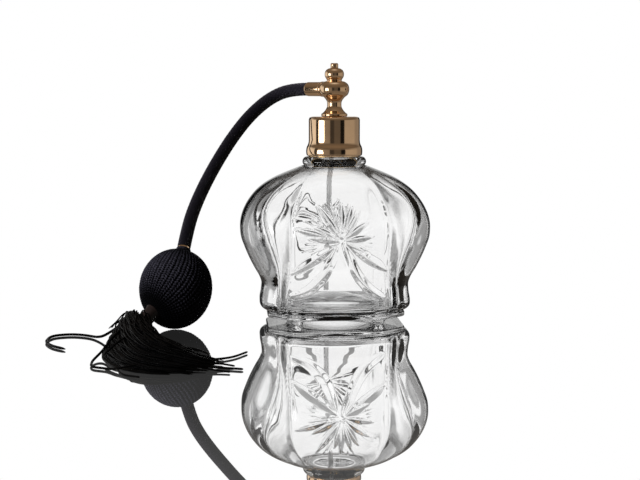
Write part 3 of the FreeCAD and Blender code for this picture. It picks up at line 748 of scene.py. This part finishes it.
def stitch_height(across, along):
    """Height, from 0 to 1, of knitted stitches: two slanted, fat legs each, each row over the one before."""
    height = np.zeros_like(across)
    for row in (-1, 0, 1):
        for leg, lean in ((0.27, 0.42), (0.73, -0.42)):
            side = (across % 1) - leg
            up = (along % 1) - 0.5 - row
            slant = side + lean * up * 0.55
            height = np.maximum(height, 1 - (slant / 0.25) ** 2 - (up / 0.66) ** 2)
    return np.sqrt(np.clip(height, 0, 1))


def squeeze(piece):
    """Gives the piece a mesh of its own."""
    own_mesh(piece)


def make_bulb():
    """The knitted cover over the rubber bulb, and the collar on the bulb's tail."""
    steps, sides = COURSES * 6, WALES * 12
    surface, normal = bulb_rows(steps, sides, BULB_LONG - COVER_INSET, BULB_WIDE - COVER_INSET, *COVER_SPAN)
    around, along = np.meshgrid(np.arange(sides) / sides * WALES, np.linspace(0, COURSES, steps))
    crowding = np.clip(np.sin(np.linspace(0.05, 0.95, steps) * math.pi), 0.25, 1)[:, None]
    wobble = 0.05 * np.sin(around * 2.1 + along * 0.9) + 0.04 * np.sin(along * 3.7)
    height = stitch_height(around + wobble * 0.4, along + wobble) * crowding
    surface = surface + normal * (0.95 * height - 0.45)[..., None]
    turn = np.arange(sides) * 2 * math.pi / sides
    centre, axis = np.array(BULB_CENTRE), np.array(BULB_AXIS)
    first = surface[0] - centre
    lift = first @ axis
    spread = first - lift[:, None] * axis
    spread /= np.linalg.norm(spread, axis=1, keepdims=True)
    neck_outline = ((2.76, 20.2), (2.95, 20.45), (3.25, 20.4), (3.42, 20.1), (3.5, 19.6), (3.8, 19.15))
    neck = [spread * radius + axis * high + centre for radius, high in neck_outline]
    surface = np.concatenate([neck, surface])
    # The neck's rows get heights that serve only the painted shade between stitches.
    height = np.concatenate([np.tile(0.4 + 0.4 * np.abs(np.sin(turn * WALES)), (len(neck), 1)), height])
    points, faces = closed_skin(surface, BULB_CENTRE + BULB_AXIS * (BULB_LONG - 1.4),
                                BULB_CENTRE + TAIL * 14.5)
    cover = mesh_object("knitted_bulb_cover", points * MM, faces)
    # The stitch heights are stored on the cover so that its material paints shade between the stitches.
    ridge = cover.data.attributes.new("ridge", "FLOAT", "POINT")
    ridge.data.foreach_set("value", np.append(height.ravel(), (0, 0)).astype(np.float32))
    finish_piece(cover, "black_knit", "atomizer", "knitted_cover")
    # The skin closes deep inside at its hose end, clear of the outlet valve's ball when the bulb is squeezed.
    surface, _ = bulb_rows(60, 96, BULB_LONG - SKIN_INSET, BULB_WIDE - SKIN_INSET, *SKIN_SPAN)
    points, faces = closed_skin(surface, BULB_CENTRE + BULB_AXIS * (BULB_LONG - 12.0),
                                BULB_CENTRE + TAIL * 13.5)
    rubber = mesh_object("rubber_bulb_skin", points * MM, faces)
    finish_piece(rubber, "black_rubber", "atomizer", "rubber_bulb")
    for piece in (cover, rubber):
        squeeze(piece)
    collar = lathe("tail_collar_sleeve", smooth_path(COLLAR_OUTLINE, 48), TAIL, BULB_CENTRE, 96)
    finish_piece(collar, "collar_rubber", "bulb_tail", "tail_collar")


# ---------------------------------------------------------------- tassel

def skirt_place(share, across, up):
    """A place in the tassel's skirt: a share of its length, from -1 to 1 across it and from 0 to 1 up."""
    along = np.linspace(0, 1, len(SKIRT))
    columns = np.array([(*middle, half, tall) for middle, half, tall in SKIRT]).T
    middle_x, middle_y, half, tall = (smooth_line(np.stack([along, column], 1), share) for column in columns)
    ahead = np.stack([np.gradient(middle_x), np.gradient(middle_y)], 1)
    ahead /= np.linalg.norm(ahead, axis=1, keepdims=True)
    return np.stack([middle_x - ahead[:, 1] * across * half, middle_y + ahead[:, 0] * across * half,
                     np.maximum(up * tall, THREAD_RADIUS)], 1)


def thread_line():
    """One thread of the skirt: it leaves the knot, keeps its place in the bundle and ends where it is cut."""
    count = 26
    across = random.uniform(-1, 1)
    cover = random.beta(4, 1.4)
    crown = math.sqrt(1 - across * across) if across > 0 else (1 + across) ** 0.75
    end = random.uniform(0.86, 1.0) if random.random() < 0.8 else random.uniform(0.6, 0.9)
    share = np.linspace(random.uniform(0, 0.08), end, count)
    wave = random.uniform(1.2, 3.2)
    phase = random.uniform(0, 6.28)
    drift = np.sin(share * wave * math.pi + phase) * 0.16 + np.sin(share * 17 + phase * 3) * 0.03
    sideways = np.clip(across + drift * (0.4 + share), -1.12, 1.12)
    lift = crown * cover + 0.06 * np.sin(share * 9 + phase * 2) * share
    lift = lift * np.where(np.abs(sideways) > 1, 0.3, 1)
    return skirt_place(share, sideways, np.clip(lift, 0.02, 1.05))


def loose_lines():
    """Threads that stand away from the skirt: loops at the left, over the knot and at the tips."""
    routes = [
        (0.62, [(-96, -56, 11), (-100.5, -60, 8.5), (-104.7, -56.5, 5.0), (-110.1, -51.7, 1.6),
                (-117.8, -43.6, 0.7), (-124.7, -41.0, 0.7), (-131.6, -43.6, 0.7), (-133.9, -54.5, 0.7),
                (-130, -66.5, 0.7), (-123.5, -74.2, 0.7)]),
        (0.55, [(-98, -74, 10.0), (-102.3, -81.9, 7.0), (-105.9, -88.6, 3.0), (-109.2, -104, 0.8),
                (-108, -111, 0.7), (-102.9, -114.5, 0.7), (-97.5, -118.7, 1.5), (-90, -119, 3.0)]),
        (0.45, [(-90, -85, 10.5), (-98, -91, 7.8), (-104.4, -98.5, 3.2)]),
        (0.50, [(-84, -80, 7.0), (-79.7, -85, 4.4), (-73.1, -87.6, 3.6), (-66.7, -89.5, 2.8),
                (-61.2, -95.2, 1.5), (-61.5, -101.7, 1.2), (-67.7, -103, 2.0), (-71.5, -98, 3.0)]),
        (0.50, [(-70, -105, 2.5), (-62.8, -101.7, 1.0), (-57.4, -100.2, 0.8), (-51.7, -96.5, 0.7),
                (-44.8, -86.2, 0.7)]),
        (0.50, [(-66, -115, 2.2), (-60.2, -117, 1.2), (-54.5, -117.3, 0.7), (-47.2, -119.6, 0.6)]),
        (0.42, [(-98, -119, 1.4), (-94.2, -126.6, 0.6), (-88, -131.0, 0.6)]),
        (0.42, [(-64, -120, 1.5), (-57, -122.5, 0.8), (-52.5, -124.5, 0.6)]),
        (0.42, [(-66, -110, 2.2), (-56, -111.5, 1.2), (-50.5, -113.5, 0.6)]),
    ]
    return [(smooth_path(route, 48), radius) for radius, route in routes]


def knot_loops():
    """Threads that fold over the knot, where the tassel is tied on."""
    lines = []
    root = np.array(BULB_CENTRE + TAIL * 27.5)
    ahead = np.array([-0.14, -0.99, 0])
    beside = np.array([0.99, -0.14, 0])
    for _ in range(FOLDED_THREADS):
        side = random.uniform(-1, 1)
        height = random.uniform(2.5, 7.0)
        start = root + [random.uniform(-1.6, 1.6), random.uniform(-1.6, 1.6), random.uniform(-1.5, 2.0)]
        reach = random.uniform(8, 16)
        top = start + ahead * reach * 0.45 + beside * side * 4.5 + np.array([0, 0, height])
        top[2] = min(top[2], 16.5)
        land = start + ahead * reach + beside * side * 8.5
        land[2] = random.uniform(4.0, 9.0)
        after = land + ahead * random.uniform(3, 8) + beside * random.uniform(-2, 2)
        after[2] = land[2] - random.uniform(0.5, 2.0)
        rising = (start + top) / 2 + (0, 0, 1.0)
        lines.append((smooth_path([start, rising, top, land, after], 22), THREAD_RADIUS))
    return lines


def make_tassel():
    """The knot, a dark core, the skirt's threads and the threads that lie loose."""
    core_share = np.linspace(0.0, 0.93, 40)
    rows = np.stack([skirt_place(core_share, math.cos(turn) * 0.86,
                                 0.42 * (1 + math.sin(turn)) * (1 + 0.55 * min(math.cos(turn), 0)))
                     for turn in np.linspace(0, 2 * math.pi, 49)[:-1]], axis=1)
    points, faces = closed_skin(rows, rows[0].mean(axis=0), rows[-1].mean(axis=0))
    core = mesh_object("tassel_core", points * MM, faces)
    finish_piece(core, "black_silk", "tassel", "tassel_skirt")
    knot = lathe("tassel_knot_binding", smooth_path(KNOT_OUTLINE, 40), TAIL, BULB_CENTRE, 64)
    finish_piece(knot, "black_silk", "tassel", "tassel_knot")
    threads = bundle("tassel_threads", [(thread_line(), THREAD_RADIUS) for _ in range(THREADS)])
    finish_piece(threads, "black_silk", "tassel")
    folds = bundle("tassel_folded_threads", knot_loops())
    finish_piece(folds, "black_silk", "tassel")
    loose = bundle("tassel_loose_threads", loose_lines(), sides=8)
    finish_piece(loose, "black_silk", "tassel", "tassel_strand_1", "tassel_strand_2", "tassel_strand_3")


# ---------------------------------------------------------------- studio

def make_floor():
    """A white glossy table top: a faint glow of its own under a mirror that is stronger at a low view."""
    made = bmesh.new()
    bmesh.ops.create_circle(made, cap_ends=True, segments=128, radius=TABLE_RADIUS)
    mesh = bpy.data.meshes.new("floor")
    made.to_mesh(mesh)
    made.free()
    floor = bpy.data.objects.new("floor", mesh)
    bpy.context.scene.collection.objects.link(floor)
    paint = bpy.data.materials.new("floor")
    paint.use_nodes = True
    tree = paint.node_tree
    tree.nodes.clear()
    out = add(tree, "OutputMaterial")
    glow = add(tree, "Emission", Color=(1, 1, 1, 1), Strength=1.0)
    mirror = add(tree, "BsdfGlossy", Color=(1, 1, 1, 1), Roughness=0.0)
    both = add(tree, "MixShader")
    edge = add(tree, "LayerWeight", Blend=0.5)
    share = ramp(tree, edge.outputs["Facing"], [(0.70, (0.94, 0.94, 0.94)), (0.77, (0.966, 0.966, 0.966)),
                                                (0.81, (0.987, 0.987, 0.987))])
    tree.links.new(share, both.inputs["Fac"])
    tree.links.new(glow.outputs[0], both.inputs[1])
    tree.links.new(mirror.outputs[0], both.inputs[2])
    tree.links.new(both.outputs[0], out.inputs["Surface"])
    floor.data.materials.append(paint)


def make_studio():
    """A studio of white paper, cards and soft boxes, of which each kind of ray sees its own part.

    The camera and the table's mirror see white. Metal and cloth see the cards, and what passes through
    the glass ends on white, with black cards between.
    """
    world = bpy.data.worlds.new("studio")
    bpy.context.scene.world = world
    world.use_nodes = True
    tree = world.node_tree
    tree.nodes.clear()
    link = tree.links.new
    place = add(tree, "TexCoord")
    split = add(tree, "SeparateXYZ")
    link(place.outputs["Generated"], split.inputs[0])

    def maths(operation, a, b=None):
        node = add(tree, "Math", operation=operation)
        for index, value in enumerate((a, b)):
            if value is None:
                continue
            if isinstance(value, (int, float)):
                node.inputs[index].default_value = value
            else:
                link(value, node.inputs[index])
        return node.outputs[0]

    def mix(share, a, b):
        node = add(tree, "Mix", data_type="RGBA")
        if isinstance(share, float):
            node.inputs[0].default_value = share
        else:
            link(share, node.inputs[0])
        for index, value in ((6, a), (7, b)):
            if isinstance(value, tuple):
                node.inputs[index].default_value = (*value, 1)
            else:
                link(value, node.inputs[index])
        return node.outputs[2]

    toward_front = maths("MULTIPLY", split.outputs["Y"], -1.0)
    bearing = maths("DIVIDE", maths("ARCTAN2", split.outputs["X"], toward_front), 2 * math.pi)
    bearing = maths("ADD", bearing, 0.5)
    height = maths("ARCSINE", split.outputs["Z"])
    rise = maths("ADD", maths("DIVIDE", height, math.pi), 0.5)

    white, light, mid = (1.0, 1.0, 1.0), (0.85, 0.85, 0.84), (0.42, 0.39, 0.35)
    brown, dark, black = (0.11, 0.10, 0.09), (0.05, 0.047, 0.044), (0.01, 0.01, 0.01)
    soot, grey = (0.012, 0.012, 0.012), (0.30, 0.28, 0.26)

    def around(degrees):
        return (degrees + CAMERA_BEARING + 180) / 360

    cards = ramp(tree, bearing, [
        (0.0, light), (around(-173), light), (around(-169), black), (around(-147), black),
        (around(-142), light), (around(-92), light), (around(-89), dark), (around(-76), dark),
        (around(-73), mid), (around(-48), mid), (around(-46), grey), (around(-20), (0.24, 0.22, 0.20)),
        (around(-17), dark), (around(-3), dark),
        (around(2), brown), (around(26), brown), (around(29), black), (around(45), black), (around(48), mid),
        (around(98), mid), (around(112), grey), (around(142), grey), (around(147), black),
        (around(169), black), (around(173), light), (1.0, light),
    ], "LINEAR")
    ceiling = ramp(tree, rise, [(0.0, (0.35, 0.32, 0.28)), (0.35, (0.45, 0.42, 0.38)), (0.52, brown),
                                (0.72, (0.17, 0.14, 0.11)), (0.86, (0.23, 0.19, 0.15)), (1.0, light)],
                   "LINEAR")
    level = ramp(tree, rise, [(0.0, black), (0.30, black), (0.40, white), (0.56, white), (0.64, black),
                              (1.0, black)], "LINEAR")
    surround = mix(level, ceiling, cards)

    # A soft box at the left front.
    aside = maths("DIVIDE", maths("SUBTRACT", bearing, around(-60)), 0.040)
    above = maths("DIVIDE", maths("SUBTRACT", rise, 0.475), 0.085)
    spread = maths("ADD", maths("POWER", maths("ABSOLUTE", aside), 3.0),
                   maths("POWER", maths("ABSOLUTE", above), 3.0))
    surround = mix(maths("LESS_THAN", spread, 1.0), surround, (4.0, 4.0, 4.0))

    # The glass sees white before it, behind it and in a strip at each side, and black cards between.
    half_turns = maths("FRACT", maths("ADD", maths("MULTIPLY", bearing, 2.0), 0.028))
    fold = maths("ABSOLUTE", maths("SUBTRACT", half_turns, 0.5))
    stripes = ramp(tree, fold, [(0.0, white), (0.212, white), (0.242, soot), (0.335, soot), (0.362, white),
                                (1.0, white)], "EASE")
    overhead = ramp(tree, rise, [(0.0, (0.6, 0.6, 0.6)), (0.42, white), (0.60, white),
                                 (0.63, (0.07, 0.07, 0.07)), (0.73, (0.02, 0.02, 0.02)),
                                 (0.80, (0.6, 0.6, 0.6)), (1.0, (0.85, 0.85, 0.85))], "EASE")
    through = add(tree, "Mix", data_type="RGBA", blend_type="MULTIPLY")
    through.inputs[0].default_value = 1.0
    link(stripes, through.inputs[6])
    link(overhead, through.inputs[7])

    rays = add(tree, "LightPath")
    colour = mix(maths("GREATER_THAN", rays.outputs["Transmission Depth"], 0.5), surround, through.outputs[2])
    # Cloth, thread and rubber get little light from the surround.
    colour = mix(rays.outputs["Is Diffuse Ray"], colour, mix(0.7, colour, black))
    # Paths both mirrored and let through, such as those of the glass in the table's mirror, end paler.
    twice = maths("MULTIPLY", maths("GREATER_THAN", rays.outputs["Transmission Depth"], 0.5),
                  maths("GREATER_THAN", rays.outputs["Glossy Depth"], 0.5))
    colour = mix(maths("MULTIPLY", twice, 0.3), colour, white)
    # The first bounce off a perfect mirror, such as the table, ends on white, and so does the camera's own view.
    mirrored = maths("MULTIPLY", rays.outputs["Is Glossy Ray"], rays.outputs["Is Singular Ray"])
    mirrored = maths("MULTIPLY", mirrored, maths("LESS_THAN", rays.outputs["Ray Depth"], 2.5))
    colour = mix(mirrored, colour, white)
    colour = mix(rays.outputs["Is Camera Ray"], colour, white)
    shade = add(tree, "Background")
    out = add(tree, "OutputWorld")
    link(colour, shade.inputs["Color"])
    link(shade.outputs[0], out.inputs["Surface"])

    for name, location, size, power in (("left_soft_box", (-0.60, -0.25, 0.34), 0.30, 18.0),
                                        ("top_soft_box", (0.1, 0.3, 0.8), 0.5, 2.0)):
        light_data = bpy.data.lights.new(name, "AREA")
        light_data.size, light_data.energy = size, power
        lamp = bpy.data.objects.new(name, light_data)
        bpy.context.scene.collection.objects.link(lamp)
        lamp.location = location
        toward = Vector((-0.05, -0.03, 0.04)) - Vector(location)
        lamp.rotation_euler = toward.to_track_quat("-Z", "Y").to_euler()
        lamp.visible_glossy = False
        lamp.visible_transmission = False
        lamp.visible_camera = False
    bpy.context.scene.view_settings.view_transform = "Standard"


make_camera()
make_hose()
make_bottle()
make_head()
make_bulb()
make_tassel()
finish_nodes()
make_floor()
make_studio()
